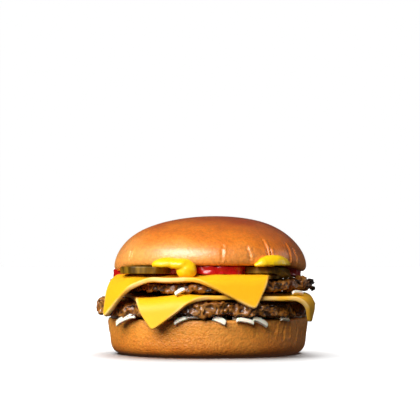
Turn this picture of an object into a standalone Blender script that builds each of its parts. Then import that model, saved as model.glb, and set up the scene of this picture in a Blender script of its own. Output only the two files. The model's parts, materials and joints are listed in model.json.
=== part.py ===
"""A double cheeseburger, stacked as it is by hand: heel bun, chopped onion, patty, cheese, patty, cheese,
pickle slices, ketchup, mustard and crown bun. Metres, +Z up; the origin is the centre of the heel's flat
underside. Angles run anticlockwise seen from above, with 0 at +X and 270 degrees at the front, -Y."""

import math

import bmesh
import bpy
from mathutils import Vector

MM = 0.001
GAP = 0.3 * MM  # clearance between pieces that touch

# Driving sizes: the stack, from the bottom up
HEEL_RADIUS = 47.6 * MM
HEEL_HEIGHT = 17.4 * MM
ONION_RADIUS = 40.5 * MM
ONION_THICKNESS = 1.3 * MM
LOWER_PATTY_RADIUS = 51.8 * MM
UPPER_PATTY_RADIUS = 49.2 * MM
LOWER_PATTY_THICKNESS = 7.4 * MM
UPPER_PATTY_THICKNESS = 6.1 * MM
CHEESE_THICKNESS = 2.2 * MM
PICKLE_RADIUS = 13.8 * MM
PICKLE_THICKNESS = 3.3 * MM
CROWN_RADIUS = 45.8 * MM
CROWN_HEIGHT = 23.6 * MM

# Levels that follow from them
ONION_BOTTOM = HEEL_HEIGHT + GAP
LOWER_PATTY_BOTTOM = ONION_BOTTOM + ONION_THICKNESS + GAP
LOWER_PATTY_TOP = LOWER_PATTY_BOTTOM + LOWER_PATTY_THICKNESS
LOWER_CHEESE_BOTTOM = LOWER_PATTY_TOP + GAP
UPPER_PATTY_BOTTOM = LOWER_CHEESE_BOTTOM + CHEESE_THICKNESS + GAP
UPPER_PATTY_TOP = UPPER_PATTY_BOTTOM + UPPER_PATTY_THICKNESS
UPPER_CHEESE_BOTTOM = UPPER_PATTY_TOP + GAP
TOPPING_BOTTOM = UPPER_CHEESE_BOTTOM + CHEESE_THICKNESS + GAP
PICKLE_TOP = TOPPING_BOTTOM + PICKLE_THICKNESS
CROWN_BOTTOM = PICKLE_TOP + GAP + 0.2 * MM
CROWN_WIDEST = CROWN_BOTTOM + 2.7 * MM
CROWN_TOP = CROWN_BOTTOM + CROWN_HEIGHT


def clear_scene():
    for obj in list(bpy.data.objects):
        bpy.data.objects.remove(obj)


def new_collection(name):
    made = bpy.data.collections.new(name)
    bpy.context.scene.collection.children.link(made)
    return made


def food_material(name, colour, roughness):
    made = bpy.data.materials.new(name)
    made.use_nodes = True
    shader = made.node_tree.nodes["Principled BSDF"]
    shader.inputs["Base Color"].default_value = (*colour, 1.0)
    shader.inputs["Roughness"].default_value = roughness
    shader.inputs["Metallic"].default_value = 0.0
    return made


def uneven(angle, waves):
    """1, give or take a little: the sum of cosine waves, each (how many round the rim, share, phase)."""
    return 1.0 + sum(share * math.cos(count * angle + phase) for count, share, phase in waves)


def polar(radius, angle):
    return Vector((radius * math.cos(angle), radius * math.sin(angle)))


def ring_body(name, rings, segments, place):
    """A closed round body: a UV sphere whose rings, from the top down, go where place(ring, angle) says."""
    mesh = bpy.data.meshes.new(name)
    shape = bmesh.new()
    bmesh.ops.create_uvsphere(shape, u_segments=segments, v_segments=rings, radius=1.0)
    for vert in shape.verts:
        ring = round(math.acos(max(-1.0, min(1.0, vert.co.z))) / math.pi * rings)
        vert.co = place(ring, math.atan2(vert.co.y, vert.co.x))
    bmesh.ops.recalc_face_normals(shape, faces=shape.faces)
    shape.to_mesh(mesh)
    shape.free()
    mesh.shade_smooth()
    mesh.set_sharp_from_angle(angle=math.radians(50))
    return bpy.data.objects.new(name, mesh)


def add_piece(obj, material):
    obj.data.materials.append(material)
    burger.objects.link(obj)
    return obj


def add_cutter(obj):
    obj.hide_render = True
    obj.display_type = "WIRE"
    cutters.objects.link(obj)
    return obj


def cut(piece, *tools):
    for tool in tools:
        step = piece.modifiers.new(f"cut_{tool.name}", "BOOLEAN")
        step.operation = "DIFFERENCE"
        step.object = tool


def arc(centre, radius, start, end, steps):
    """Points (r, z) along a round edge, from the start angle to the end angle in degrees."""
    turns = [math.radians(start + (end - start) * i / steps) for i in range(steps + 1)]
    return [(centre[0] + radius * math.cos(t), centre[1] + radius * math.sin(t)) for t in turns]


# Buns


def build_heel():
    """The bottom bun: cut flat on top, where it is widest, with a rounded foot that stands flat."""
    wall = [
        (HEEL_RADIUS, HEEL_HEIGHT - 1.4 * MM),
        (HEEL_RADIUS - 0.6 * MM, HEEL_HEIGHT - 4.9 * MM),
        (HEEL_RADIUS - 0.9 * MM, HEEL_HEIGHT * 0.46),
    ]
    foot_radius = 5.0 * MM
    foot = arc((HEEL_RADIUS - 1.3 * MM - foot_radius, foot_radius), foot_radius, 0, -90, 4)
    top = [(0, HEEL_HEIGHT), (HEEL_RADIUS * 0.6, HEEL_HEIGHT), (HEEL_RADIUS - 1.2 * MM, HEEL_HEIGHT)]
    profile = [*top, *wall, *foot, (HEEL_RADIUS * 0.4, 0), (0, 0)]
    waves = [(2, 0.004, 0.6), (3, 0.004, 2.0), (5, 0.003, 0.9)]

    def place(ring, angle):
        r, z = profile[ring]
        return (*polar(r * uneven(angle, waves), angle), z)

    return ring_body("heel_bun", len(profile) - 1, 40, place)


def crown_profile():
    """(r, z) of the crown, from its top down: a flattened dome, a tucked rim and a flat cut face."""
    dome_steps = 8
    dome_power = 2 / 1.8  # a little more pointed than an ellipse
    dome = []
    for i in range(dome_steps + 1):
        t = math.radians(90 * i / dome_steps)
        height = max(math.cos(t), 0.0) ** dome_power
        dome.append(
            (CROWN_RADIUS * math.sin(t) ** dome_power, CROWN_WIDEST + (CROWN_TOP - CROWN_WIDEST) * height)
        )
    tuck = [
        (CROWN_RADIUS - 0.4 * MM, CROWN_BOTTOM + 1.3 * MM),
        (CROWN_RADIUS - 1.8 * MM, CROWN_BOTTOM + 0.4 * MM),
        (CROWN_RADIUS - 4.4 * MM, CROWN_BOTTOM),
    ]
    return dome + tuck + [(CROWN_RADIUS * 0.5, CROWN_BOTTOM), (0, CROWN_BOTTOM)], dome_steps


def build_crown(name, grow=0.0):
    """The top bun. Its rim sags at the left and right, past the toppings that carry it."""
    profile, dome_steps = crown_profile()
    centre_x = 1.0 * MM
    side_sag = 3.2 * MM
    lean = 2.4 * MM  # the top leans a little to the right
    waves = [(2, 0.003, 0.4), (3, 0.004, 1.1), (5, 0.003, 2.6)]

    def place(ring, angle):
        r, z = profile[ring]
        share = r / CROWN_RADIUS
        on_dome = ring <= dome_steps
        sag = side_sag * max(math.cos(2 * angle), 0.0) ** 3 * share ** (4 if on_dome else 12)
        up = max(z - CROWN_WIDEST, 0.0) / (CROWN_TOP - CROWN_WIDEST)
        x, y = polar(r * uneven(angle, waves) + grow * share, angle)
        z += grow * (up if on_dome else -1.0)
        return (x + centre_x + lean * up**3, y, z - sag)

    return ring_body(name, len(profile) - 1, 40, place)


# Patties


LOWER_PATTY_CENTRE = Vector((-1.8, 0.0)) * MM
LOWER_PATTY_WAVES = [(2, 0.016, 0.2), (3, 0.007, 1.4), (5, 0.007, 0.3), (8, 0.005, 2.2), (11, 0.003, 1.0)]
LOWER_PATTY_DROOP = 1.3 * MM  # how far its rim hangs below its middle
UPPER_PATTY_CENTRE = Vector((1.8, 0.0)) * MM
UPPER_PATTY_WAVES = [(2, 0.012, 0.0), (3, 0.008, 2.9), (5, 0.006, 1.9), (7, 0.005, 0.4), (12, 0.003, 2.5)]
PATTY_EDGE = 6.0 * MM  # how far in from the rim the patty is rounded


def patty_rim(angle, centre, radius, waves):
    """A point on the patty's outline, seen from above."""
    return centre + polar(radius * uneven(angle, waves), angle)


def reach(direction, centre, radius, waves):
    """How far the patty goes in a direction: where a straight edge laid against its rim would lie."""
    towards = polar(1.0, direction)
    steps = 180
    return max(
        patty_rim(2 * math.pi * i / steps, centre, radius, waves).dot(towards) for i in range(steps)
    )


def build_patty(name, outline, top, bottom, droop):
    """A pressed beef patty with a thick, ragged edge. It is hollowed a little by what it lies on."""
    centre, radius, waves = outline
    rim_bottom = bottom - droop
    half = (top - rim_bottom) / 2
    inner = radius - PATTY_EDGE
    turns = [math.radians(90 - 30 * i) for i in range(7)]
    rim = [(inner + PATTY_EDGE * math.cos(t), rim_bottom + half * (1 + math.sin(t))) for t in turns]
    hollow = [(inner - 4 * MM, bottom), (radius * 0.45, bottom), (0, bottom)]
    profile = [(0, top), (radius * 0.6, top), *rim, *hollow]
    crags = 0.010

    def place(ring, angle):
        r, z = profile[ring]
        ragged = crags * math.sin(9 * angle + 2.3 * ring) * math.sin(4 * angle + ring)
        share = uneven(angle, waves) + (min(ragged, 0.0) if r > inner else 0.0)
        return (*(centre + polar(r * share, angle)), z)

    return ring_body(name, len(profile) - 1, 46, place)


# Cheese


def fold_over(point, fold):
    """Bends what lies past a fold line down over the patty's rim: round the bend, then straight on."""
    direction, start, bend_radius, turn = fold
    towards = polar(1.0, direction)
    past = point.xy.dot(towards) - start
    if past <= 0:
        return point
    turned = min(past / bend_radius, turn)
    straight = max(past - bend_radius * turn, 0.0)
    out = bend_radius * math.sin(turned) + straight * math.cos(turn)
    down = bend_radius * (1 - math.cos(turned)) + straight * math.sin(turn)
    flat = point.xy + towards * (out - past)
    return Vector((*flat, point.z - down))


def corner_fold(direction, patty, bend_radius, turn, clearance):
    """A fold line just inside the patty's rim, so that the bent corner hangs clear of it."""
    angle = math.radians(direction)
    start = reach(angle, *patty) + clearance - bend_radius
    return (angle, start, bend_radius, math.radians(turn))


# Each slice: width and depth, centre, turn in degrees, and by how many degrees its right and left
# edges are pulled round, as soft cheese is when it is laid on by hand
LOWER_SLICE = ((82 * MM, 85 * MM), Vector((2.2, -6.8)) * MM, 11.9, (8.0, 0.0))
UPPER_SLICE = ((79 * MM, 85 * MM), Vector((-5.4, -7.5)) * MM, -12.3, (0.0, -6.0))


def build_cheese(name, slice_sizes, bottom, folds):
    """A slice of processed cheese, laid flat on the patty with its corners hanging over the rim."""
    (width, depth), centre, turn, (pull_right, pull_left) = slice_sizes
    spaces = 20
    mesh = bpy.data.meshes.new(name)
    shape = bmesh.new()
    bmesh.ops.create_grid(shape, x_segments=spaces, y_segments=spaces, size=0.5)
    for vert in shape.verts:
        across, back = vert.co.x * width, vert.co.y * depth
        pull = pull_right * max(2 * vert.co.x, 0.0) + pull_left * max(-2 * vert.co.x, 0.0)
        angle = math.radians(turn + pull)
        laid = centre + polar(across, angle) + polar(back, angle + math.pi / 2)
        point = Vector((*laid, bottom))
        for fold in folds:
            point = fold_over(point, fold)
        vert.co = point
    shape.to_mesh(mesh)
    shape.free()
    mesh.shade_smooth()
    obj = bpy.data.objects.new(name, mesh)
    thicken = obj.modifiers.new("thickness", "SOLIDIFY")
    thicken.thickness = CHEESE_THICKNESS
    thicken.offset = 1.0
    return obj


# Toppings


def build_onion_layer():
    """The bed of chopped onion under the lower patty, out to its uneven outline."""
    top = ONION_BOTTOM + ONION_THICKNESS
    profile = [
        (0, top),
        (ONION_RADIUS - 1 * MM, top),
        (ONION_RADIUS, ONION_BOTTOM + ONION_THICKNESS / 2),
        (ONION_RADIUS - 1 * MM, ONION_BOTTOM),
        (0, ONION_BOTTOM),
    ]
    waves = [(4, 0.010, 0.3), (7, 0.012, 1.2), (10, 0.010, 2.0)]

    def place(ring, angle):
        r, z = profile[ring]
        return (*polar(r * (uneven(angle, waves) - 0.03), angle), z)

    return ring_body("onion_layer", len(profile) - 1, 30, place)


# One entry for each slice: centre x and y, and how far its free side droops past the cheese below it
PICKLES = {
    "pickle_front_left": (-27.2 * MM, -23.4 * MM, 0.0),
    "pickle_front_right": (26.4 * MM, -24.4 * MM, 3.0 * MM),
    "pickle_back_right": (23.0 * MM, 22.5 * MM, 0.0),
    "pickle_back_left": (-21.0 * MM, 25.5 * MM, 0.0),
}


def build_pickle(name, x, y, droop, grow=0.0):
    """A round slice of gherkin with its skin on. Where it lies past the cheese's edge it bends down."""
    radius = PICKLE_RADIUS + grow
    top = PICKLE_TOP + grow
    bottom = TOPPING_BOTTOM - grow
    edge = 0.5 * MM
    profile = [
        (0, top),
        (radius * 0.55, top),
        (radius - edge, top),
        (radius, top - edge),
        (radius, bottom + edge),
        (radius - edge, bottom),
        (radius * 0.55, bottom),
        (0, bottom),
    ]
    waves = [(3, 0.012, x / MM), (5, 0.010, y / MM)]
    (cheese_width, _), cheese_centre, cheese_turn, _ = UPPER_SLICE
    off_edge = polar(1.0, math.radians(cheese_turn))
    edge_line = cheese_centre.dot(off_edge) + cheese_width / 2 + 1 * MM
    bend_length = 8 * MM

    def place(ring, angle):
        r, z = profile[ring]
        flat = Vector((x, y)) + polar(r * uneven(angle, waves), angle)
        past = max(flat.dot(off_edge) - edge_line, 0.0) / bend_length
        return (*flat, z - droop * min(past, 1.0) ** 1.5)

    return ring_body(name, len(profile) - 1, 24, place)


def build_ketchup():
    """The layer of ketchup on the upper cheese. It swells out at the front, between the two pickles."""
    thickness = PICKLE_THICKNESS - 0.1 * MM
    radius = 38.0 * MM
    edge = thickness / 2
    rim = arc((radius - edge, TOPPING_BOTTOM + edge), edge, 90, -90, 4)
    profile = [(0, TOPPING_BOTTOM + thickness), (radius * 0.6, TOPPING_BOTTOM + thickness), *rim]
    profile += [(radius * 0.6, TOPPING_BOTTOM), (0, TOPPING_BOTTOM)]
    front, swell, spread = math.radians(277), 6.4 * MM, math.radians(24)
    waves = [(5, 0.014, 0.7), (9, 0.012, 1.9)]

    def place(ring, angle):
        r, z = profile[ring]
        off_front = math.remainder(angle - front, 2 * math.pi)
        out = swell * math.exp(-((off_front / spread) ** 4)) * (r / radius) ** 3
        return (*polar(r * uneven(angle, waves) + out, angle), z)

    return ring_body("ketchup", len(profile) - 1, 36, place)


# One entry for each squeeze of mustard: angle in degrees, distance out, height of its middle, half sizes
# along the rim, outwards and upwards
MUSTARDS = {
    "mustard_front_left": (252, 42.0 * MM, 41.6 * MM, (9.5 * MM, 4.6 * MM, 3.1 * MM)),
    "mustard_front_right": (308, 46.0 * MM, 43.6 * MM, (8.0 * MM, 2.8 * MM, 2.0 * MM)),
    "mustard_back": (95, 42.5 * MM, 41.4 * MM, (8.0 * MM, 4.2 * MM, 2.9 * MM)),
}


def build_mustard(name, degrees, out, height, half_sizes, grow=0.0):
    """A soft squeeze of mustard that the crown presses out over the rim."""
    along, across, up = (size + grow for size in half_sizes)
    turn = math.radians(degrees)
    middle = polar(out, turn)
    rings = 8

    def place(ring, angle):
        tilt = math.pi * ring / rings
        wide = math.sin(tilt)
        outwards = polar(across * wide * math.cos(angle), turn)
        sideways = polar(along * wide * math.sin(angle), turn + math.pi / 2)
        return (*(middle + outwards + sideways), height + up * math.cos(tilt))

    return ring_body(name, rings, 20, place)


clear_scene()
burger = new_collection("double_cheeseburger")
cutters = new_collection("cutters")

crust = food_material("bun_crust", (0.60, 0.22, 0.05), 0.45)
beef = food_material("grilled_beef", (0.13, 0.055, 0.025), 0.5)
cheese = food_material("processed_cheese", (0.93, 0.52, 0.03), 0.4)
gherkin = food_material("gherkin", (0.16, 0.14, 0.02), 0.3)
tomato = food_material("tomato_ketchup", (0.48, 0.02, 0.01), 0.2)
mustard = food_material("yellow_mustard", (0.90, 0.58, 0.01), 0.35)
onion = food_material("chopped_onion", (0.85, 0.80, 0.68), 0.35)

add_piece(build_heel(), crust)
add_piece(build_onion_layer(), onion)

lower = (LOWER_PATTY_CENTRE, LOWER_PATTY_RADIUS, LOWER_PATTY_WAVES)
upper = (UPPER_PATTY_CENTRE, UPPER_PATTY_RADIUS, UPPER_PATTY_WAVES)
add_piece(build_patty("lower_patty", lower, LOWER_PATTY_TOP, LOWER_PATTY_BOTTOM, LOWER_PATTY_DROOP), beef)
add_piece(build_patty("upper_patty", upper, UPPER_PATTY_TOP, UPPER_PATTY_BOTTOM, 0.0), beef)

# Each fold: the way it faces in degrees, the patty whose rim it follows, bend radius, turn in degrees
# and clearance to the rim
lower_folds = [
    corner_fold(247.9, lower, 5.2 * MM, 86, 1.0 * MM),
    corner_fold(348.0, lower, 5.4 * MM, 90, 1.0 * MM),
    corner_fold(52.0, lower, 5.2 * MM, 80, 1.0 * MM),
    corner_fold(150.0, lower, 5.2 * MM, 80, 1.0 * MM),
]
upper_folds = [
    corner_fold(286.0, upper, 5.4 * MM, 72, 1.8 * MM),
    corner_fold(205.0, upper, 5.6 * MM, 69, 2.6 * MM),
    corner_fold(129.0, upper, 5.4 * MM, 70, 1.8 * MM),
    corner_fold(33.0, upper, 5.4 * MM, 70, 1.7 * MM),
]
add_piece(build_cheese("lower_cheese", LOWER_SLICE, LOWER_CHEESE_BOTTOM, lower_folds), cheese)
add_piece(build_cheese("upper_cheese", UPPER_SLICE, UPPER_CHEESE_BOTTOM, upper_folds), cheese)

add_piece(build_crown("crown_bun"), crust)
crown_tool = add_cutter(build_crown("crown_tool", GAP))

pickle_tools = []
for pickle_name, sizes in PICKLES.items():
    add_piece(build_pickle(pickle_name, *sizes), gherkin)
    pickle_tools.append(add_cutter(build_pickle(f"{pickle_name}_tool", *sizes, GAP)))

ketchup = add_piece(build_ketchup(), tomato)
cut(ketchup, crown_tool, *pickle_tools)
for mustard_name, sizes in MUSTARDS.items():
    squeeze = add_piece(build_mustard(mustard_name, *sizes), mustard)
    cut(squeeze, crown_tool, *pickle_tools)
    cut(ketchup, add_cutter(build_mustard(f"{mustard_name}_tool", *sizes, GAP)))
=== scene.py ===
"""A double cheeseburger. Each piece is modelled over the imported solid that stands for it, from the heel bun
up, as the sandwich is put together. Metres, +Z up, the front at -Y; sizes are in millimetres times MM."""

import json
import math
import random

import bmesh
import bpy
from mathutils import Matrix, Vector

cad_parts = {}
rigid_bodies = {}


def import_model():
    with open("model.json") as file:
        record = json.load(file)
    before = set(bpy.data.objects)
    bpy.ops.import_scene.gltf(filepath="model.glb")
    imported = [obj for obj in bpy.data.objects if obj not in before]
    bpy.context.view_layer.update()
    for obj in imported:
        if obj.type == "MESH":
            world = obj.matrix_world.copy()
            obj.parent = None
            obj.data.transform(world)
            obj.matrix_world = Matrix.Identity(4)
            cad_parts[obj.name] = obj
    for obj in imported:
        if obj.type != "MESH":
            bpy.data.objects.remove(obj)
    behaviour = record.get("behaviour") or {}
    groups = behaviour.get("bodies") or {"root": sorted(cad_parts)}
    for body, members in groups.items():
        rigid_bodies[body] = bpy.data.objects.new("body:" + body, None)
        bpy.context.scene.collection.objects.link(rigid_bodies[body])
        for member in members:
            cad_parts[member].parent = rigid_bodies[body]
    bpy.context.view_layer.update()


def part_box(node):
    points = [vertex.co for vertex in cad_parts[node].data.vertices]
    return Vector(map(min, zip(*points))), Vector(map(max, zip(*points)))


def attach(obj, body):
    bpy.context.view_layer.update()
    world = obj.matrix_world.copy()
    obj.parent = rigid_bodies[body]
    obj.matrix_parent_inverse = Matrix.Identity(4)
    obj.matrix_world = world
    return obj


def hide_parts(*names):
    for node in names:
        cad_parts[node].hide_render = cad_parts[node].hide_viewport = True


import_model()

# ---- Heel bun ------------------------------------------------------------------------------------------
# The bottom half of a soft wheat bun, baked on a flat tin and sliced level. It has a rounded foot, a matt
# golden crust with fine pores, and is creased at the right, where it was squeezed.

MM = 0.001
ON_LEVEL = 0.1 * MM  # how near a height a vertex counts as being at it
HEEL_SIDES = 64  # of the cage, which three subdivisions turn into 512


def pick(*pieces):
    """Makes these the only selected pieces, and the first of them the active one."""
    bpy.ops.object.select_all(action="DESELECT")
    for piece in pieces:
        piece.select_set(True)
    bpy.context.view_layer.objects.active = pieces[0]


def begin(piece):
    """Makes a piece the only selected one and goes into edit mode."""
    pick(piece)
    bpy.ops.object.mode_set(mode="EDIT")
    bpy.ops.mesh.select_mode(type="VERT")


def end(piece, name=None):
    """Leaves edit mode and brings the piece's place into its mesh."""
    bpy.ops.object.mode_set(mode="OBJECT")
    bpy.ops.object.transform_apply(location=True, rotation=True, scale=True)
    if name:
        piece.name = piece.data.name = name


def select(piece, test):
    """In edit mode, selects the vertices whose place passes a test. Returns how many there are."""
    shape = bmesh.from_edit_mesh(piece.data)
    chosen = 0
    for vert in shape.verts:
        passes = test(vert.co)
        vert.select_set(passes)
        chosen += passes
    shape.select_flush_mode()
    bmesh.update_edit_mesh(piece.data)
    return chosen


def push(piece, test, move, reach, falloff="SMOOTH"):
    """Moves the chosen vertices, and with them, less and less, what lies within reach."""
    if select(piece, test):
        bpy.ops.transform.translate(
            value=move, use_proportional_edit=True, proportional_edit_falloff=falloff,
            proportional_size=reach,
        )


def modify(piece, kind, **settings):
    """Adds a modifier with its settings and applies it."""
    pick(piece)
    modifier = piece.modifiers.new(kind.title(), kind)
    for name, value in settings.items():
        setattr(modifier, name, value)
    bpy.ops.object.modifier_apply(modifier=modifier.name)


def around(radius, degrees, height):
    """A point at a distance from the burger's axis; 0 degrees is at the right and 270 at the front."""
    angle = math.radians(degrees)
    return Vector((radius * math.cos(angle), radius * math.sin(angle), height))


def near_line(start, finish, width):
    """A test for vertices within a width of the line between two points."""
    along = finish - start

    def test(place):
        share = max(0.0, min(1.0, (place - start).dot(along) / along.length_squared))
        return (place - start - along * share).length < width

    return test


def crease(piece, bearing, drift, low, high, depth, reach):
    """A skin fold up a round side, between two heights: a sunk line with a raised one beside it. drift is
    how many degrees it goes round on its way up."""
    half_width = 0.3 * MM
    for beside, rise in ((0.0, -depth), (reach, depth * 0.7)):

        def on_fold(place):
            share = (place.z - low) / (high - low)
            across = around(1, bearing + drift * share + 90, 0)
            outwards = place.dot(around(1, bearing, 0))
            return 0 < share < 1 and outwards > 0 and abs(place.dot(across) - beside) < half_width

        push(piece, on_fold, around(rise, bearing, 0), reach)


def fit_width(piece, low, high):
    """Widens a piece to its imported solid, across and front to back, after subdivision has shrunk it."""
    begin(piece)
    bpy.ops.mesh.select_all(action="SELECT")
    spans = []
    for axis in (0, 1):
        along = [vert.co[axis] for vert in bmesh.from_edit_mesh(piece.data).verts]
        spans.append(max(along) - min(along))
    middle = (low + high) / 2
    shares = ((high.x - low.x) / spans[0], (high.y - low.y) / spans[1], 1)
    bpy.ops.transform.resize(value=shares, center_override=middle)
    end(piece)


def linear(code):
    """A colour written as sRGB hex, turned to the linear values that shaders take."""
    channels = [int(code[i : i + 2], 16) / 255 for i in (0, 2, 4)]
    return (*(c / 12.92 if c <= 0.04045 else ((c + 0.055) / 1.055) ** 2.4 for c in channels), 1.0)


def new_material(name, **values):
    """A material's Principled shader with the values that are the same all over."""
    made = bpy.data.materials.new(name)
    made.use_nodes = True
    shader = made.node_tree.nodes["Principled BSDF"]
    for socket, value in values.items():
        shader.inputs[socket.replace("_", " ")].default_value = value
    return made, shader


def add_node(material, kind, inputs=None, **settings):
    """Adds a node. An input takes a value, or the output that is linked to it; settings are set on it."""
    made = material.node_tree.nodes.new("ShaderNode" + kind)
    for name, value in settings.items():
        setattr(made, name, value)
    for name, value in (inputs or {}).items():
        if isinstance(value, bpy.types.NodeSocket):
            material.node_tree.links.new(value, made.inputs[name])
        else:
            made.inputs[name].default_value = value
    return made


def link(material, output, shader, socket):
    material.node_tree.links.new(output, shader.inputs[socket])


def baked_crust(name, low, high, pale, golden, brown, roughness, grain, glaze, wrinkled, lean):
    """Wheat crust that browns from one height to another: pale, then golden, then brown. Its pores are about
    1 mm across. wrinkled is the height round which fine upright wrinkles stand in the skin at the right,
    where it was squeezed. lean is how much further on its browning it is towards the right, as a height for
    each metre: partly uneven baking, partly painted shade on the side away from the key lamp."""
    made, shader = new_material(name, Subsurface_Weight=0.08, Subsurface_Scale=0.002, Coat_Roughness=0.33)
    place = add_node(made, "TexCoord").outputs["Object"]
    split = add_node(made, "SeparateXYZ", {0: place})
    height = split.outputs["Z"]
    glazed = add_node(
        made, "MapRange",
        {"Value": height, "From Min": low + 2 * MM, "From Max": low + 7 * MM, "To Max": glaze},
    )
    link(made, glazed.outputs[0], shader, "Coat Weight")
    front = add_node(made, "Math", {0: split.outputs["Y"], 1: -1.0}, operation="MULTIPLY")
    bearing = add_node(made, "Math", {0: split.outputs["X"], 1: front.outputs[0]}, operation="ARCTAN2")
    girth = add_node(made, "Math", {0: bearing.outputs[0], 1: 46 * MM}, operation="MULTIPLY")
    upright = add_node(made, "Math", {0: height, 1: 0.16}, operation="MULTIPLY")
    unrolled = add_node(made, "CombineXYZ", {"X": girth.outputs[0], "Z": upright.outputs[0]})
    wrinkles = add_node(
        made, "TexNoise", {"Vector": unrolled.outputs[0], "Scale": 1 / (1.3 * MM), "Detail": 3},
    )
    off_level = add_node(made, "Math", {0: height, 1: wrinkled}, operation="SUBTRACT")
    away = add_node(made, "Math", {0: off_level.outputs[0]}, operation="ABSOLUTE")
    near = add_node(
        made, "MapRange",
        {"Value": away.outputs[0], "From Min": 3 * MM, "From Max": 9 * MM, "To Min": 1.0, "To Max": 0.0},
    )
    ridges = add_node(
        made, "MapRange",
        {"Value": wrinkles.outputs["Fac"], "From Min": 0.5, "From Max": 0.75, "To Max": 0.9},
    )
    squeezed_side = add_node(
        made, "MapRange", {"Value": split.outputs["X"], "From Min": 18 * MM, "From Max": 34 * MM},
    )
    folded = add_node(made, "Math", {0: ridges.outputs[0], 1: near.outputs[0]}, operation="MULTIPLY")
    folded = add_node(
        made, "Math", {0: folded.outputs[0], 1: squeezed_side.outputs[0]}, operation="MULTIPLY",
    )
    patches = add_node(made, "TexNoise", {"Vector": place, "Scale": 1 / (16 * MM), "Detail": 3})
    pores = add_node(made, "TexNoise", {"Vector": place, "Scale": 1 / (0.9 * MM), "Detail": 4})
    specks = add_node(made, "TexNoise", {"Vector": place, "Scale": 1 / (1.6 * MM), "Detail": 5})
    shift = add_node(
        made, "MapRange",
        {
            "Value": patches.outputs["Fac"], "From Min": 0.3, "From Max": 0.7, "To Min": -4 * MM,
            "To Max": 4 * MM,
        },
    )
    # Painted shade, in part: the crust is taken further along its browning towards the right, partly uneven
    # baking and partly the shade on the side away from the lamp.
    leaning = add_node(
        made, "Math", {0: split.outputs["X"], 1: lean, 2: height}, operation="MULTIPLY_ADD",
    )
    shifted = add_node(made, "Math", {0: leaning.outputs[0], 1: shift.outputs[0]})
    browning = add_node(
        made, "MapRange", {"Value": shifted.outputs[0], "From Min": low, "From Max": high},
    )
    tan = add_node(
        made, "Mix",
        {
            0: add_node(made, "MapRange", {"Value": browning.outputs[0], "From Max": 0.5}).outputs[0],
            6: linear(pale), 7: linear(golden),
        },
        data_type="RGBA",
    )
    baked = add_node(
        made, "Mix",
        {
            0: add_node(made, "MapRange", {"Value": browning.outputs[0], "From Min": 0.5}).outputs[0],
            6: tan.outputs[2], 7: linear(brown),
        },
        data_type="RGBA",
    )
    speckled = add_node(
        made, "MapRange",
        {
            "Value": specks.outputs["Fac"], "From Min": 0.40, "From Max": 0.66, "To Min": 1.05,
            "To Max": 0.80,
        },
    )
    toned = add_node(
        made, "VectorMath", {0: baked.outputs[2], "Scale": speckled.outputs[0]}, operation="SCALE",
    )
    link(made, toned.outputs[0], shader, "Base Color")
    gloss = add_node(
        made, "MapRange",
        {
            "Value": patches.outputs["Fac"], "From Min": 0.3, "From Max": 0.7, "To Min": roughness - 0.06,
            "To Max": roughness + 0.08,
        },
    )
    link(made, gloss.outputs[0], shader, "Roughness")
    relief = add_node(
        made, "Bump",
        {
            "Height": add_node(made, "Math", {0: pores.outputs["Fac"], 1: folded.outputs[0]}).outputs[0],
            "Strength": grain, "Distance": 0.8 * MM,
        },
    )
    link(made, relief.outputs[0], shader, "Normal")
    return made


def soft_crumb():
    """The cut face: cream crumb with open pores of 1 to 2 mm, lightly toasted."""
    made, shader = new_material(
        "soft_crumb", Roughness=0.8, Subsurface_Weight=0.15, Subsurface_Scale=0.003,
    )
    place = add_node(made, "TexCoord").outputs["Object"]
    holes = add_node(made, "TexVoronoi", {"Vector": place, "Scale": 1 / (1.8 * MM)})
    toast = add_node(made, "TexNoise", {"Vector": place, "Scale": 1 / (12 * MM), "Detail": 4})
    colour = add_node(
        made, "Mix", {0: toast.outputs["Fac"], 6: linear("f5e2bd"), 7: linear("d9ab6c")},
        data_type="RGBA",
    )
    link(made, colour.outputs[2], shader, "Base Color")
    relief = add_node(
        made, "Bump", {"Height": holes.outputs["Distance"], "Strength": 0.6, "Distance": 0.4 * MM},
    )
    link(made, relief.outputs[0], shader, "Normal")
    return made


def finish_piece(piece, material_slot, *nodes):
    """Smooth shading; hangs the piece on the root body and hides the imported solids it stands for."""
    pick(piece)
    bpy.ops.object.shade_smooth()
    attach(piece, "root")
    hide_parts(*nodes)


heel_low, heel_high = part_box("heel_bun")
heel_height = heel_high.z
heel_radius = (heel_high.x - heel_low.x) / 2
bpy.ops.object.select_all(action="DESELECT")
bpy.ops.mesh.primitive_cylinder_add(
    vertices=HEEL_SIDES, radius=heel_radius, depth=heel_height, location=(0, 0, heel_height / 2),
)
heel = bpy.context.active_object
bpy.ops.object.transform_apply(location=True)
begin(heel)
for height in (1.2, 4.0, 7.0, 10.0, 13.0, 15.4, 16.8):
    bpy.ops.mesh.select_all(action="SELECT")
    bpy.ops.mesh.bisect(plane_co=(0, 0, height * MM), plane_no=(0, 0, 1))
# How wide the heel is at each height, as a share of its full width
foot_rings = [
    (0.0, 0.875), (1.2, 0.940), (4.0, 0.972), (7.0, 0.978), (10.0, 0.984), (13.0, 0.994), (17.4, 0.984),
]
for height, share in foot_rings:
    select(heel, lambda place: abs(place.z - height * MM) < ON_LEVEL)
    bpy.ops.transform.resize(value=(share, share, 1), center_override=(0, 0, height * MM))
for level in (0.0, heel_height):
    select(heel, lambda place: abs(place.z - level) < ON_LEVEL)
    for inset in (2.0, 10.0, 16.0):
        bpy.ops.mesh.inset(thickness=inset * MM)
rng = random.Random(11)
for degrees in range(0, 360, 30):
    lean = around(rng.uniform(-0.6, 0.5) * MM, degrees, 0)
    push(
        heel,
        near_line(around(heel_radius, degrees, 4 * MM), around(heel_radius, degrees, 16 * MM), 3 * MM),
        lean, 16 * MM,
    )
end(heel, "heel_crust")
modify(heel, "SUBSURF", levels=3, render_levels=3)
fit_width(heel, heel_low, heel_high)
begin(heel)
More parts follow.
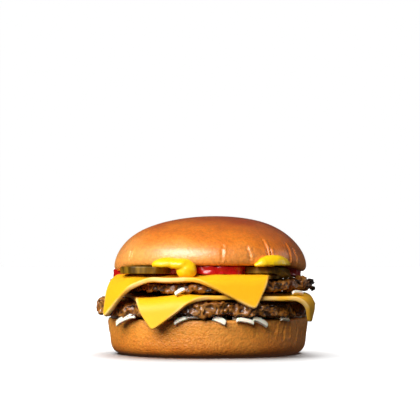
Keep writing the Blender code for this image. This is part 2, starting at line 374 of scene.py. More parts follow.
# Each fold in the skin: its bearing, and the heights between which it runs
heel_creases = [
    (303, 12.5, 15.8), (311, 9.0, 15.6), (318, 7.5, 15.5), (324, 9.0, 15.6), (331, 6.0, 15.4),
    (338, 8.0, 15.0), (346, 9.0, 15.4), (20, 7.5, 15.2), (31, 9.0, 15.4), (75, 10.0, 15.6),
    (120, 8.0, 15.2), (131, 9.5, 15.6), (186, 10.0, 15.6), (196, 8.5, 15.2),
]
for degrees, low, high in heel_creases:
    crease(heel, degrees, rng.uniform(-2.0, 2.0), low * MM, high * MM, 0.38 * MM, 1.1 * MM)
end(heel)
# Its last value, lean, makes the right side darker, nearer the foot's colour: partly uneven baking, partly
# painted shade.
heel.data.materials.append(
    baked_crust("heel_crust", 0, 22 * MM, "c36616", "ea9232", "ee9e42", 0.44, 0.6, 0.10, 12 * MM, -0.04)
)
crumb = soft_crumb()
heel.data.materials.append(crumb)
begin(heel)
select(heel, lambda place: place.z > heel_height - 0.02 * MM and place.xy.length < heel_radius - 1.4 * MM)
heel.active_material_index = 1
bpy.ops.object.material_slot_assign()
end(heel)
finish_piece(heel, "bun_crust", "heel_bun")


# ---- Chopped onion -------------------------------------------------------------------------------------
# Raw white onion, diced into sticks 5 to 9 mm long and strewn on the heel. They are wet and slightly
# clear, and the patty presses some of them out over the edge.

ONION_LEVEL = heel_height + 0.7 * MM


def onion_stick(length, width, place, turn, tip, roll):
    """One diced stick: slightly bowed, as it comes from a curved layer, with barely rounded edges."""
    bpy.ops.object.select_all(action="DESELECT")
    bpy.ops.mesh.primitive_cube_add(size=1)
    stick = bpy.context.active_object
    begin(stick)
    bpy.ops.transform.resize(value=(length, width, 1.7 * MM))
    for share in (-0.3, 0.0, 0.3):
        bpy.ops.mesh.select_all(action="SELECT")
        bpy.ops.mesh.bisect(plane_co=(length * share, 0, 0), plane_no=(1, 0, 0))
    select(stick, lambda vertex: abs(vertex.x) < length * 0.4)
    bpy.ops.transform.translate(value=(0, 0.07 * length, 0.03 * length))
    select(stick, lambda vertex: vertex.x > length * 0.4)
    bpy.ops.transform.resize(value=(1, 0.8, 0.85))
    end(stick)
    modify(stick, "BEVEL", width=0.35 * MM, segments=2)
    modify(stick, "SUBSURF", levels=1, render_levels=1)
    tilt = Matrix.Rotation(math.radians(turn), 4, "Z") @ Matrix.Rotation(math.radians(tip), 4, "Y")
    stick.data.transform(Matrix.Translation(place) @ tilt @ Matrix.Rotation(math.radians(roll), 4, "X"))
    return stick


rng = random.Random(5)
# The sticks that show along the front: where each starts and ends, its width, and how it is rolled
front_sticks = [
    ((-42.2, -30.6, 15.0), (-33.4, -37.6, 19.0), 2.7, 75),
    ((-15.2, -46.6, 15.8), (-9.4, -47.6, 18.4), 2.0, 70),
    ((-9.8, -47.2, 18.4), (-4.2, -47.8, 18.9), 1.8, 60),
    ((2.2, -47.0, 18.2), (8.2, -48.2, 15.9), 2.7, 60),
    ((13.0, -46.6, 17.4), (21.0, -44.8, 15.8), 2.0, 70),
    ((20.6, -44.4, 18.0), (27.2, -41.2, 14.6), 2.5, 60),
    ((33.6, -35.6, 17.6), (37.6, -31.6, 16.9), 1.8, 50),
    ((-14.8, -48.8, 29.0), (-10.2, -49.4, 31.6), 1.9, 60),
    ((39.2, -32.4, 29.6), (44.2, -28.2, 29.0), 1.6, 60),
]
sticks = []
for start, finish, wide, roll in front_sticks:
    along = (Vector(finish) - Vector(start)) * MM
    middle = (Vector(finish) + Vector(start)) / 2 * MM
    turn = math.degrees(math.atan2(along.y, along.x))
    tip = -math.degrees(math.asin(along.z / along.length))
    sticks.append(onion_stick(along.length, wide * MM, middle, turn, tip, roll))
for ring_out, count in ((45.0, 26), (40.5, 26), (35.0, 20), (29.0, 14)):
    for i in range(count):
        bearing = 360 * i / count + rng.uniform(-5, 5)
        if ring_out > 43 and 205 < bearing % 360 < 330:
            continue
        place = around(
            (ring_out + rng.uniform(-1.5, 1.5)) * MM, bearing, ONION_LEVEL + rng.uniform(0, 0.5) * MM,
        )
        long, wide = rng.uniform(5, 9) * MM, rng.uniform(2.0, 3.2) * MM
        sticks.append(
            onion_stick(long, wide, place, rng.uniform(0, 180), rng.uniform(-6, 6), rng.uniform(-25, 25))
        )
pick(*sticks)
bpy.ops.object.join()
onion = bpy.context.active_object
onion.name = onion.data.name = "chopped_onion"
raw_onion, shader = new_material(
    "raw_onion", Roughness=0.28, Subsurface_Weight=0.2, Subsurface_Scale=0.002, Specular_IOR_Level=0.5,
)
place = add_node(raw_onion, "TexCoord").outputs["Object"]
fibres = add_node(raw_onion, "TexNoise", {"Vector": place, "Scale": 1 / (3 * MM), "Detail": 2})
flesh = add_node(
    raw_onion, "Mix", {0: fibres.outputs["Fac"], 6: linear("f8f0df"), 7: linear("e6dac0")},
    data_type="RGBA",
)
link(raw_onion, flesh.outputs[2], shader, "Base Color")
onion.data.materials.append(raw_onion)
finish_piece(onion, "chopped_onion", "onion_layer")


# ---- Lower patty ---------------------------------------------------------------------------------------
# Coarsely minced beef, pressed thin and grilled: lumps and threads of mince stand out all round the edge,
# browned on their tops, with painted shade darkening the crevices between them, and wet with fat.

MINCE_GRAIN = 0.5 * MM  # the mesh is this fine, so that crumbs of 2 mm still come out round


def roughen(piece, name, kind, size, strength, mid_level=0.5, direction="NORMAL", **settings):
    """Raises and sinks a surface by a texture whose features are of about a size."""
    texture = bpy.data.textures.new(name, kind)
    texture.noise_scale = size
    for setting, value in settings.items():
        setattr(texture, setting, value)
    shape = {"strength": strength, "mid_level": mid_level, "direction": direction}
    modify(piece, "DISPLACE", texture=texture, texture_coords="LOCAL", **shape)


def pressed_patty(name, centre, radius, bottom, top, pulls, seed):
    """A disc of mince. Each pull is a place on the rim that stands out, is torn or is heaped: its bearing,
    how far it goes out and up, and its reach."""
    thick = top - bottom
    middle = Vector((*centre, bottom + thick / 2))
    bpy.ops.object.select_all(action="DESELECT")
    bpy.ops.mesh.primitive_cylinder_add(vertices=120, radius=radius, depth=thick, location=middle)
    patty = bpy.context.active_object
    bpy.ops.object.transform_apply(location=True)
    begin(patty)
    for share in (-0.17, 0.17):
        bpy.ops.mesh.select_all(action="SELECT")
        bpy.ops.mesh.bisect(plane_co=middle + Vector((0, 0, thick * share)), plane_no=(0, 0, 1))
    for side in (-1, 1):
        select(patty, lambda place: (place.z - middle.z) * side > thick * 0.4)
        for inset, squeeze in ((0.5, 0.0), (1.2, 0.5), (1.8, 0.3), (5.0, 0.2), (8.0, 0.0), (12.0, 0.0)):
            bpy.ops.mesh.inset(thickness=inset * MM)
            bpy.ops.transform.translate(value=(0, 0, side * squeeze * MM))
        select(patty, lambda place: (place.z - middle.z) * side > thick * 0.4)
        bpy.ops.transform.translate(value=(0, 0, -side * 1.0 * MM))
    rng = random.Random(seed)
    dents = [
        (bearing + rng.uniform(-7, 7), rng.uniform(-1.8, 0.8), rng.uniform(-0.5, 0.5), rng.uniform(5, 10))
        for bearing in range(0, 360, 18)
    ]
    for bearing, out, up, reach in dents + pulls:
        spot = middle + around(radius, bearing, 0)
        rim_line = Vector((0, 0, thick * 0.3))
        lowest = spot + rim_line * 0.8 if up > 0.6 else spot - rim_line
        push(
            patty, near_line(lowest, spot + rim_line, 1.5 * MM), around(out * MM, bearing, up * MM),
            reach * MM,
        )
    end(patty, name)
    modify(patty, "REMESH", mode="VOXEL", voxel_size=MINCE_GRAIN)
    roughen(patty, "swell", "CLOUDS", 9 * MM, 3.0 * MM)
    roughen(patty, "lumps", "VORONOI", 4.8 * MM, -2.5 * MM, 0.42)
    roughen(patty, "threads", "DISTORTED_NOISE", 3.0 * MM, 0.8 * MM, distortion=1.5)
    roughen(patty, "crumbs", "VORONOI", 2.0 * MM, -0.55 * MM, 0.42)
    modify(patty, "SMOOTH", factor=0.5, iterations=2)
    # Bakes how deep in a crevice each vertex lies; the mince material turns this into painted shade.
    bpy.ops.geometry.color_attribute_add(
        name="cracks", domain="POINT", data_type="FLOAT_COLOR", color=(1, 1, 1, 1),
    )
    bpy.ops.object.mode_set(mode="VERTEX_PAINT")
    bpy.ops.paint.vertex_color_dirt(
        blur_strength=0.5, blur_iterations=1, clean_angle=math.radians(180), dirt_angle=0,
    )
    bpy.ops.object.mode_set(mode="OBJECT")
    return patty


def grilled_mince():
    """Browned mince: warm brown lumps with painted shade darkening the crevices, and fat and juice that shine
    in patches.
    """
    made, shader = new_material(
        "grilled_mince", Subsurface_Weight=0.05, Subsurface_Scale=0.001, Coat_Roughness=0.10,
    )
    place = add_node(made, "TexCoord").outputs["Object"]
    cracks = add_node(made, "Attribute", attribute_name="cracks").outputs["Fac"]
    lumps = add_node(made, "TexVoronoi", {"Vector": place, "Scale": 1 / (3.0 * MM)})
    grey = add_node(made, "SeparateColor", {0: lumps.outputs["Color"]}).outputs[0]
    patches = add_node(made, "TexNoise", {"Vector": place, "Scale": 1 / (7 * MM), "Detail": 3})
    fine = add_node(made, "TexNoise", {"Vector": place, "Scale": 1 / (1.1 * MM), "Detail": 3})
    meat = add_node(
        made, "Mix",
        {
            0: add_node(
                made, "MapRange", {"Value": patches.outputs["Fac"], "From Min": 0.35, "From Max": 0.65},
            ).outputs[0],
            6: linear("783e08"), 7: linear("a4681c"),
        },
        data_type="RGBA",
    )
    mixed = add_node(
        made, "Mix",
        {
            0: add_node(
                made, "MapRange", {"Value": grey, "From Min": 0.6, "From Max": 1.0, "To Max": 0.3},
            ).outputs[0],
            6: meat.outputs[2], 7: linear("b88c50"),
        },
        data_type="RGBA",
    )
    # Painted shade: the crevices darken towards a near-black brown.
    depth = add_node(made, "MapRange", {"Value": cracks, "From Min": 0.01, "From Max": 0.12})
    shaded = add_node(
        made, "Mix", {0: depth.outputs[0], 6: linear("2e1507"), 7: mixed.outputs[2]}, data_type="RGBA",
    )
    link(made, shaded.outputs[2], shader, "Base Color")
    wet = add_node(
        made, "MapRange",
        {
            "Value": patches.outputs["Fac"], "From Min": 0.35, "From Max": 0.65, "To Min": 0.30,
            "To Max": 0.60,
        },
    )
    link(made, wet.outputs[0], shader, "Roughness")
    fat = add_node(
        made, "MapRange",
        {
            "Value": patches.outputs["Fac"], "From Min": 0.48, "From Max": 0.60, "To Min": 0.1,
            "To Max": 0.75,
        },
    )
    link(made, fat.outputs[0], shader, "Coat Weight")
    relief = add_node(
        made, "Bump", {"Height": fine.outputs["Fac"], "Strength": 0.25, "Distance": 0.3 * MM},
    )
    link(made, relief.outputs[0], shader, "Normal")
    return made


mince = grilled_mince()
lower_low, lower_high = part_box("lower_patty")
lower_centre = (lower_low.xy + lower_high.xy) / 2
lower_radius = (lower_high.x - lower_low.x) / 2 - 0.8 * MM
lower_pulls = [
    (220, 0.0, -1.2, 16), (312, 0.0, -0.8, 15), (186, 1.6, 0.4, 5), (196, -1.4, -0.6, 4),
    (353, 1.2, 0.0, 5), (345, -1.2, 0.4, 4), (60, 1.5, 0, 6), (110, -2.0, 0, 8),
]
lower_patty = pressed_patty(
    "lower_patty_mince", lower_centre, lower_radius, lower_low.z + 0.4 * MM, lower_high.z - 0.3 * MM,
    lower_pulls, 3,
)
lower_patty.data.materials.append(mince)
finish_piece(lower_patty, "grilled_beef", "lower_patty")


# ---- Lower cheese slice --------------------------------------------------------------------------------
# Processed cheese, cast as a smooth slice about 85 mm square and 2.2 mm thick. It is laid on the hot patty,
# where it softens: its corners hang over the rim, and its cut edges melt round and pale; the pale rim is
# partly melt and partly painted light glowing through the thin edge.

CHEESE_THICK = 2.2 * MM
CHEESE_SPACES = 76


def turn_all(degrees):
    """Turns the whole piece about the burger's axis, anticlockwise seen from above."""
    bpy.ops.mesh.select_all(action="SELECT")
    bpy.ops.transform.rotate(value=-math.radians(degrees), orient_axis="Z", center_override=(0, 0, 0))


def fold_corner(piece, flat, bearing, start, bend, degrees):
    """Bends what lies past a straight line down over the rim, as a sheet bends: in small turns, line by line.
    flat holds where each vertex was on the flat slice, start is how far out the bend begins."""
    turns = 10
    turn = math.radians(degrees) / turns
    stretch = bend * turn
    way = around(1.0, bearing, 0)
    shape = bmesh.from_edit_mesh(piece.data)
    level = max(vert.co.z for vert in shape.verts)
    turn_all(-bearing)
    hinge = Vector((start, 0, level))
    for i in range(turns):
        shape = bmesh.from_edit_mesh(piece.data)
        for vert, place in zip(shape.verts, flat):
            vert.select_set(place.dot(way) > start + stretch * i)
        shape.select_flush_mode()
        bmesh.update_edit_mesh(piece.data)
        bpy.ops.transform.rotate(value=-turn, orient_axis="Y", center_override=hinge)
        heading = turn * (i + 1)
        hinge += Vector((math.cos(heading), 0, -math.sin(heading))) * stretch
    turn_all(bearing)


def cheese_slice(name, width, depth, centre, turn, pulls, bottom, draws, folds, sags):
    """A slice laid on its patty. Each pull turns a side edge (1 or -1) round the middle, by some degrees. A
    draw pulls part of an edge inwards: its two ends, the move and its reach. Folds are what fold_corner
    takes. A sag is a place on the rim (how far out, bearing), how far it sinks, and its reach."""
    bpy.ops.object.select_all(action="DESELECT")
    bpy.ops.mesh.primitive_grid_add(x_subdivisions=CHEESE_SPACES, y_subdivisions=CHEESE_SPACES, size=1)
    piece = bpy.context.active_object
    begin(piece)
    bpy.ops.transform.resize(value=(width, depth, 1), center_override=(0, 0, 0))
    for way_x in (-1, 1):
        for way_y in (-1, 1):
            corner = Vector((way_x * width / 2, way_y * depth / 2, 0))
            push(
                piece, near_line(corner, corner * 0.999, 0.3 * MM), -corner.normalized() * 0.8 * MM,
                2.8 * MM, "SHARP",
            )
    for side, degrees in pulls:
        select(piece, lambda place: place.x * side > width * 0.499)
        bpy.ops.transform.rotate(
            value=-math.radians(degrees), orient_axis="Z", center_override=(0, 0, 0),
            use_proportional_edit=True, proportional_edit_falloff="LINEAR", proportional_size=width / 2,
        )
    turn_all(turn)
    bpy.ops.transform.translate(value=(*centre, bottom))
    for start, finish, move, reach in draws:
        ends = [Vector((*end_place, 0)) * MM + Vector((0, 0, bottom)) for end_place in (start, finish)]
        push(piece, near_line(*ends, 1.2 * MM), Vector((*move, 0)) * MM, reach * MM)
    flat = [vert.co.copy() for vert in bmesh.from_edit_mesh(piece.data).verts]
    for fold in folds:
        fold_corner(piece, flat, *fold)
    for out, bearing, down, reach in sags:
        spot = around(out * MM, bearing, bottom)
        push(piece, near_line(spot, spot * 0.99, 2 * MM), (0, 0, -down * MM), reach * MM)
    end(piece, name)
    modify(piece, "SOLIDIFY", thickness=CHEESE_THICK, offset=1.0)
    modify(piece, "BEVEL", width=0.7 * MM, segments=3, limit_method="ANGLE", angle_limit=math.radians(50))
    roughen(piece, "slump", "CLOUDS", 14 * MM, 0.9 * MM, direction="Z")
    return piece


def melted_cheese():
    """Processed cheese: even orange-yellow and softly glossy. Its cut edge turns pale: partly melt, partly
    painted light glowing through the thin edge.
    """
    made, shader = new_material(
        "melted_cheese", Subsurface_Weight=0.2, Subsurface_Scale=0.0025, Specular_IOR_Level=0.3, IOR=1.45,
    )
    shader.inputs["Subsurface Radius"].default_value = (1.0, 0.6, 0.15)
    place = add_node(made, "TexCoord")
    across = add_node(made, "SeparateXYZ", {0: place.outputs["UV"]})
    edge_distances = []
    for axis in ("X", "Y"):
        from_middle = add_node(made, "Math", {0: across.outputs[axis], 1: 0.5}, operation="SUBTRACT")
        edge_distances.append(add_node(made, "Math", {0: from_middle.outputs[0]}, operation="ABSOLUTE"))
    nearest = add_node(
        made, "Math", {0: edge_distances[0].outputs[0], 1: edge_distances[1].outputs[0]},
        operation="MAXIMUM",
    )
    clouds = add_node(
        made, "TexNoise", {"Vector": place.outputs["Object"], "Scale": 1 / (12 * MM), "Detail": 2},
    )
    cut_edge = add_node(
        made, "MapRange", {"Value": nearest.outputs[0], "From Min": 0.484, "From Max": 0.4995},
    )
    uneven = add_node(
        made, "MapRange",
        {
            "Value": clouds.outputs["Fac"], "From Min": 0.42, "From Max": 0.62, "To Min": 0.15,
            "To Max": 0.85,
        },
    )
    melted = add_node(made, "Math", {0: cut_edge.outputs[0], 1: uneven.outputs[0]}, operation="MULTIPLY")
    body = add_node(
        made, "Mix", {0: clouds.outputs["Fac"], 6: linear("f8b618"), 7: linear("f4ad11")},
        data_type="RGBA",
    )
    # Painted light, in part: the pale cream at the cut edge stands for a highlight and light glowing through
    # the thin melted rim.
    colour = add_node(
        made, "Mix", {0: melted.outputs[0], 6: body.outputs[2], 7: linear("f6cd84")}, data_type="RGBA",
    )
    link(made, colour.outputs[2], shader, "Base Color")
    gloss = add_node(
        made, "MapRange",
        {
            "Value": clouds.outputs["Fac"], "From Min": 0.3, "From Max": 0.7, "To Min": 0.38,
            "To Max": 0.54,
        },
    )
    link(made, gloss.outputs[0], shader, "Roughness")
    return made


cheese = melted_cheese()
lower_reach = lower_radius + 1.2 * MM
lower_folds = [
    (247.9, lower_reach - 6.3 * MM, 5.4 * MM, 84), (348.0, 46.4 * MM, 5.5 * MM, 90),
    (52.0, lower_reach - 5.2 * MM, 5.2 * MM, 80), (150.0, lower_reach - 5.2 * MM, 5.2 * MM, 80),
]
lower_cheese = cheese_slice(
    "lower_cheese_slice", 82 * MM, 85 * MM, (2.2 * MM, -6.8 * MM), 11.9, [(1, 8.0)],
    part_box("lower_cheese")[1].z - CHEESE_THICK, [], lower_folds,
    [(46.0, 232, 1.8, 20), (47.0, 272, 0.5, 14), (48.0, 300, 0.8, 12), (50.0, 318, 1.3, 13)],
)
lower_cheese.data.materials.append(cheese)
finish_piece(lower_cheese, "processed_cheese", "lower_cheese")


# ---- Upper patty ---------------------------------------------------------------------------------------
# The second patty, of the same mince, pressed and grilled like the first. Its right end is torn and heaped
# up, and its left end is pressed in by the corner of cheese that hangs over it.

upper_low, upper_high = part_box("upper_patty")
upper_centre = (upper_low.xy + upper_high.xy) / 2
upper_radius = (upper_high.x - upper_low.x) / 2 - 0.8 * MM
# The last two are pressed in by the corner of cheese over them
upper_pulls = [
    (352, -0.8, 1.7, 8), (336, 0.0, 2.4, 9), (342, -0.8, 0.5, 4), (324, 0.0, 1.6, 7), (20, 1.5, 0, 6),
    (160, -1.5, 0, 6), (198, -2.4, -1.0, 9), (208, -2.4, -1.0, 9),
]
upper_patty = pressed_patty(
    "upper_patty_mince", upper_centre, upper_radius, upper_low.z + 0.1 * MM, upper_high.z - 0.3 * MM,
    upper_pulls, 8,
)
upper_patty.data.materials.append(mince)
finish_piece(upper_patty, "grilled_beef", "upper_patty")


# ---- Upper cheese slice --------------------------------------------------------------------------------
# The second slice, of the same processed cheese. It is turned the other way, so that its corners fall
# between those of the first, and the longest of them hangs over the left end of the patty.

upper_reach = upper_radius + 1.9 * MM
upper_folds = [
    (286.0, upper_reach - 5.7 * MM, 4.2 * MM, 73), (205.0, upper_reach - 10.4 * MM, 13.0 * MM, 69),
    (129.0, upper_reach - 5.4 * MM, 5.4 * MM, 70), (33.0, upper_reach - 5.4 * MM, 5.4 * MM, 70),
]
upper_cheese = cheese_slice(
    "upper_cheese_slice", 79 * MM, 85 * MM, (-5.4 * MM, -7.5 * MM), -12.3, [(-1, -6.0)],
    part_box("upper_cheese")[1].z - CHEESE_THICK, [((-51.2, -20.3), (-46.6, -6.0), (4.4, 0.6), 15)],
    upper_folds, [(47.0, 236, 1.5, 12), (46.5, 252, 1.6, 11), (47.0, 266, 0.8, 8)],
)
upper_cheese.data.materials.append(cheese)
finish_piece(upper_cheese, "processed_cheese", "upper_cheese")


# ---- Gherkin slices ------------------------------------------------------------------------------------
# Pickled gherkin cut across, 28 mm wide and 3.3 mm thick. The knobbly skin round the rim is dark olive and
# wet; the flesh is clear yellow-green, with a ring of seeds.

PICKLE_SIDES = 48


def gherkin_skin():
    """Skin darkened by the brine, with paler streaks running across the rim, under a film of brine."""
    made, shader = new_material(
        "gherkin_skin", Coat_Weight=0.1, Coat_Roughness=0.15, Specular_IOR_Level=0.3,
    )
    place = add_node(made, "TexCoord").outputs["Object"]
    squeezed = add_node(made, "Mapping", {"Vector": place, "Scale": (1, 1, 0.3)})
    streaks = add_node(
        made, "TexNoise", {"Vector": squeezed.outputs[0], "Scale": 1 / (2.6 * MM), "Detail": 3},
    )
    colour = add_node(
        made, "Mix",
        {
            0: add_node(
                made, "MapRange", {"Value": streaks.outputs["Fac"], "From Min": 0.38, "From Max": 0.66},
            ).outputs[0],
            6: linear("483202"), 7: linear("876406"),
        },
        data_type="RGBA",
    )
    link(made, colour.outputs[2], shader, "Base Color")
    wet = add_node(made, "MapRange", {"Value": streaks.outputs["Fac"], "To Min": 0.3, "To Max": 0.55})
    link(made, wet.outputs[0], shader, "Roughness")
    return made


def gherkin_flesh(name, centre):
    """Clear, wet flesh: yellow-green, paler at the middle, with seeds about 2 mm across."""
    made, shader = new_material(name, Subsurface_Weight=0.2, Subsurface_Scale=0.002, Roughness=0.25)
    place = add_node(made, "TexCoord").outputs["Object"]
    seeds = add_node(made, "TexVoronoi", {"Vector": place, "Scale": 1 / (2.4 * MM)})
    away = add_node(
        made, "VectorMath", {0: place, 1: (centre.x, centre.y, centre.z)}, operation="DISTANCE",
    )
    pulp = add_node(
        made, "MapRange", {"Value": away.outputs["Value"], "From Min": 8 * MM, "From Max": 13 * MM},
    )
    spots = add_node(
        made, "MapRange",
        {
            "Value": seeds.outputs["Distance"], "From Min": 0.2, "From Max": 0.4, "To Min": 0.6,
            "To Max": 0.0,
        },
    )
    seeded = add_node(
        made, "Mix", {0: spots.outputs[0], 6: linear("b3a648"), 7: linear("d8cf8a")}, data_type="RGBA",
    )
    colour = add_node(
        made, "Mix", {0: pulp.outputs[0], 6: seeded.outputs[2], 7: linear("8f8a30")}, data_type="RGBA",
    )
    link(made, colour.outputs[2], shader, "Base Color")
    return made


def gherkin_slice(node, centre, bend_bearing, bend_start, droop, seed):
    """A slice lying flat, whose far side may bend down past a line."""
    low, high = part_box(node)
    thick = high.z - low.z - droop
    radius = (high.x - low.x) / 2
    middle = Vector((*centre, high.z - thick / 2))
    bpy.ops.object.select_all(action="DESELECT")
    bpy.ops.mesh.primitive_cylinder_add(
        vertices=PICKLE_SIDES, radius=radius, depth=thick, location=middle,
    )
    piece = bpy.context.active_object
    bpy.ops.object.transform_apply(location=True)
    begin(piece)
    for share in (-0.30, 0.0, 0.30):
        bpy.ops.mesh.select_all(action="SELECT")
        bpy.ops.mesh.bisect(plane_co=middle + Vector((0, 0, thick * share)), plane_no=(0, 0, 1))
    for side in (-1, 1):
        select(piece, lambda place: abs(place.z - middle.z - side * thick / 2) < 0.05 * MM)
        for inset in (0.5, 0.6, 2.5, 3.5):
            bpy.ops.mesh.inset(thickness=inset * MM)
    rng = random.Random(seed)
    for i in range(PICKLE_SIDES):
        bearing = 360 * i / PICKLE_SIDES
        spot = middle + around(radius, bearing, 0)
        push(
            piece, near_line(spot - Vector((0, 0, thick)), spot + Vector((0, 0, thick)), 0.6 * MM),
            around(rng.uniform(-0.45, 0.35) * MM, bearing, 0), 1.6 * MM,
        )
    for _ in range(6):
        spot = middle + around(radius * rng.uniform(0.3, 0.9), rng.uniform(0, 360), thick / 2)
        push(
            piece, near_line(spot, spot + Vector((0, 0, thick)), 2 * MM),
            (0, 0, rng.uniform(-0.35, 0.1) * MM), 5 * MM,
        )
    if droop:
        flat = [vert.co.copy() for vert in bmesh.from_edit_mesh(piece.data).verts]
        fold_corner(piece, flat, bend_bearing, bend_start, 7 * MM, 52)
    end(piece, node + "_slice")
    piece.data.materials.append(skin)
    piece.data.materials.append(gherkin_flesh(node + "_flesh", middle))
    begin(piece)
    bpy.ops.mesh.select_all(action="DESELECT")
    shape = bmesh.from_edit_mesh(piece.data)
    for face in shape.faces:
        from_middle = (face.calc_center_median().xy - middle.xy).length
        face.select_set(abs(face.normal.z) > 0.8 and from_middle < radius - 0.9 * MM)
    bmesh.update_edit_mesh(piece.data)
    piece.active_material_index = 1
    bpy.ops.object.material_slot_assign()
    end(piece)
    modify(piece, "SUBSURF", levels=3, render_levels=3)
    finish_piece(piece, "gherkin", node)


skin = gherkin_skin()
slices = [
    ("pickle_front_left", 0.0, 21), ("pickle_front_right", 3.0 * MM, 22), ("pickle_back_right", 0.0, 23),
    ("pickle_back_left", 0.0, 24),
]
for node, droop, seed in slices:
    low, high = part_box(node)
    gherkin_slice(node, (low.xy + high.xy) / 2, 347.7, 37.0 * MM, droop, seed)


# ---- Ketchup -------------------------------------------------------------------------------------------
# Thick tomato ketchup, squeezed on in a pool and pressed flat by the crown, so that it swells out in glossy
# lobes between the gherkin slices and runs down a little at the sides.

ketchup_low, ketchup_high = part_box("ketchup")
ketchup_thick = ketchup_high.z - ketchup_low.z
ketchup_radius = 37.5 * MM
ketchup_middle = (ketchup_low.z + ketchup_high.z) / 2
bpy.ops.object.select_all(action="DESELECT")
bpy.ops.mesh.primitive_cylinder_add(
    vertices=72, radius=ketchup_radius, depth=ketchup_thick + 0.6 * MM, location=(0, 0, ketchup_middle),
)
ketchup = bpy.context.active_object
bpy.ops.object.transform_apply(location=True)
begin(ketchup)
for share in (-0.33, 0.0, 0.33):
    bpy.ops.mesh.select_all(action="SELECT")
    bpy.ops.mesh.bisect(plane_co=(0, 0, ketchup_middle + ketchup_thick * share), plane_no=(0, 0, 1))
for side in (-1, 1):
    select(ketchup, lambda place: (place.z - ketchup_middle) * side > ketchup_thick * 0.4)
    for inset in (0.8, 1.2, 3.0, 5.0, 8.0):
        bpy.ops.mesh.inset(thickness=inset * MM)
# Where it swells out: bearing, out, up and how far round
lobes = [
    (279, 6.6, 0.0, 11), (268, 5.0, 0.2, 7), (290, 4.6, -0.2, 6), (353, 7.5, -1.8, 10),
    (343, 6.0, -0.6, 6), (185, 9.0, -2.0, 8), (175, 4.0, 0, 8), (60, 4.0, 0, 9), (120, 5.0, -0.4, 8),
    (32, 3.0, 0, 7), (150, 3.0, 0, 7),
]
for bearing, out, up, reach in lobes:
    spot = around(ketchup_radius, bearing, ketchup_middle)
    up_line = Vector((0, 0, ketchup_thick / 2))
    push(
        ketchup, near_line(spot - up_line, spot + up_line, 2.0 * MM), around(out * MM, bearing, up * MM),
        reach * MM,
    )
end(ketchup, "pressed_ketchup")
modify(ketchup, "SUBSURF", levels=2, render_levels=2)
roughen(ketchup, "ripples", "CLOUDS", 4.5 * MM, 1.5 * MM)
tomato, shader = new_material(
    "tomato_ketchup", Subsurface_Weight=0.12, Subsurface_Scale=0.001, Coat_Weight=0.15,
    Coat_Roughness=0.08,
)
place = add_node(tomato, "TexCoord").outputs["Object"]
pulp = add_node(tomato, "TexNoise", {"Vector": place, "Scale": 1 / (3.5 * MM), "Detail": 3})
colour = add_node(
    tomato, "Mix", {0: pulp.outputs["Fac"], 6: linear("b81008"), 7: linear("940704")}, data_type="RGBA",
)
link(tomato, colour.outputs[2], shader, "Base Color")
gloss = add_node(tomato, "MapRange", {"Value": pulp.outputs["Fac"], "To Min": 0.16, "To Max": 0.42})
link(tomato, gloss.outputs[0], shader, "Roughness")
ketchup.data.materials.append(tomato)
finish_piece(ketchup, "tomato_ketchup", "ketchup")


# ---- Mustard -------------------------------------------------------------------------------------------
# Smooth yellow mustard, in soft squeezes that the crown presses out over the rim: it domes up against the
# bun and runs down past a gherkin slice on to the cheese.

mustard, shader = new_material(
    "yellow_mustard", Subsurface_Weight=0.2, Subsurface_Scale=0.0015, Coat_Weight=0.15,
    Coat_Roughness=0.15,
)
shader.inputs["Subsurface Radius"].default_value = (1.0, 0.7, 0.15)
place = add_node(mustard, "TexCoord").outputs["Object"]
paste = add_node(mustard, "TexNoise", {"Vector": place, "Scale": 1 / (4 * MM), "Detail": 3})
colour = add_node(
    mustard, "Mix", {0: paste.outputs["Fac"], 6: linear("f7cc08"), 7: linear("edbc06")}, data_type="RGBA",
)
link(mustard, colour.outputs[2], shader, "Base Color")
gloss = add_node(mustard, "MapRange", {"Value": paste.outputs["Fac"], "To Min": 0.25, "To Max": 0.5})
link(mustard, gloss.outputs[0], shader, "Roughness")


def mustard_squeeze(name, node, lumps):
    """Overlapping lumps run together into one squeeze. Each lump: its middle, its half sizes, its turn, and
    the height of what it lies on, which flattens it from below."""
    balls = []
    for middle, half_sizes, turn, rest in lumps:
        bpy.ops.object.select_all(action="DESELECT")
        bpy.ops.mesh.primitive_ico_sphere_add(subdivisions=4, radius=1)
        ball = bpy.context.active_object
        begin(ball)
        bpy.ops.transform.resize(value=[size * MM for size in half_sizes])
        bpy.ops.transform.rotate(value=-math.radians(turn), orient_axis="Z", center_override=(0, 0, 0))
        bpy.ops.transform.translate(value=[share * MM for share in middle])
        bpy.ops.mesh.select_all(action="SELECT")
        bpy.ops.mesh.bisect(
            plane_co=(0, 0, rest * MM), plane_no=(0, 0, 1), clear_inner=True, use_fill=True,
        )
        end(ball)
        balls.append(ball)
    pick(*balls)
    bpy.ops.object.join()
    squeeze = bpy.context.active_object
    squeeze.name = squeeze.data.name = name
    modify(squeeze, "REMESH", mode="VOXEL", voxel_size=0.35 * MM)
    modify(squeeze, "SMOOTH", factor=0.5, iterations=10)
    roughen(squeeze, "paste", "CLOUDS", 3.5 * MM, 0.5 * MM)
    squeeze.data.materials.append(mustard)
    finish_piece(squeeze, "yellow_mustard", node)


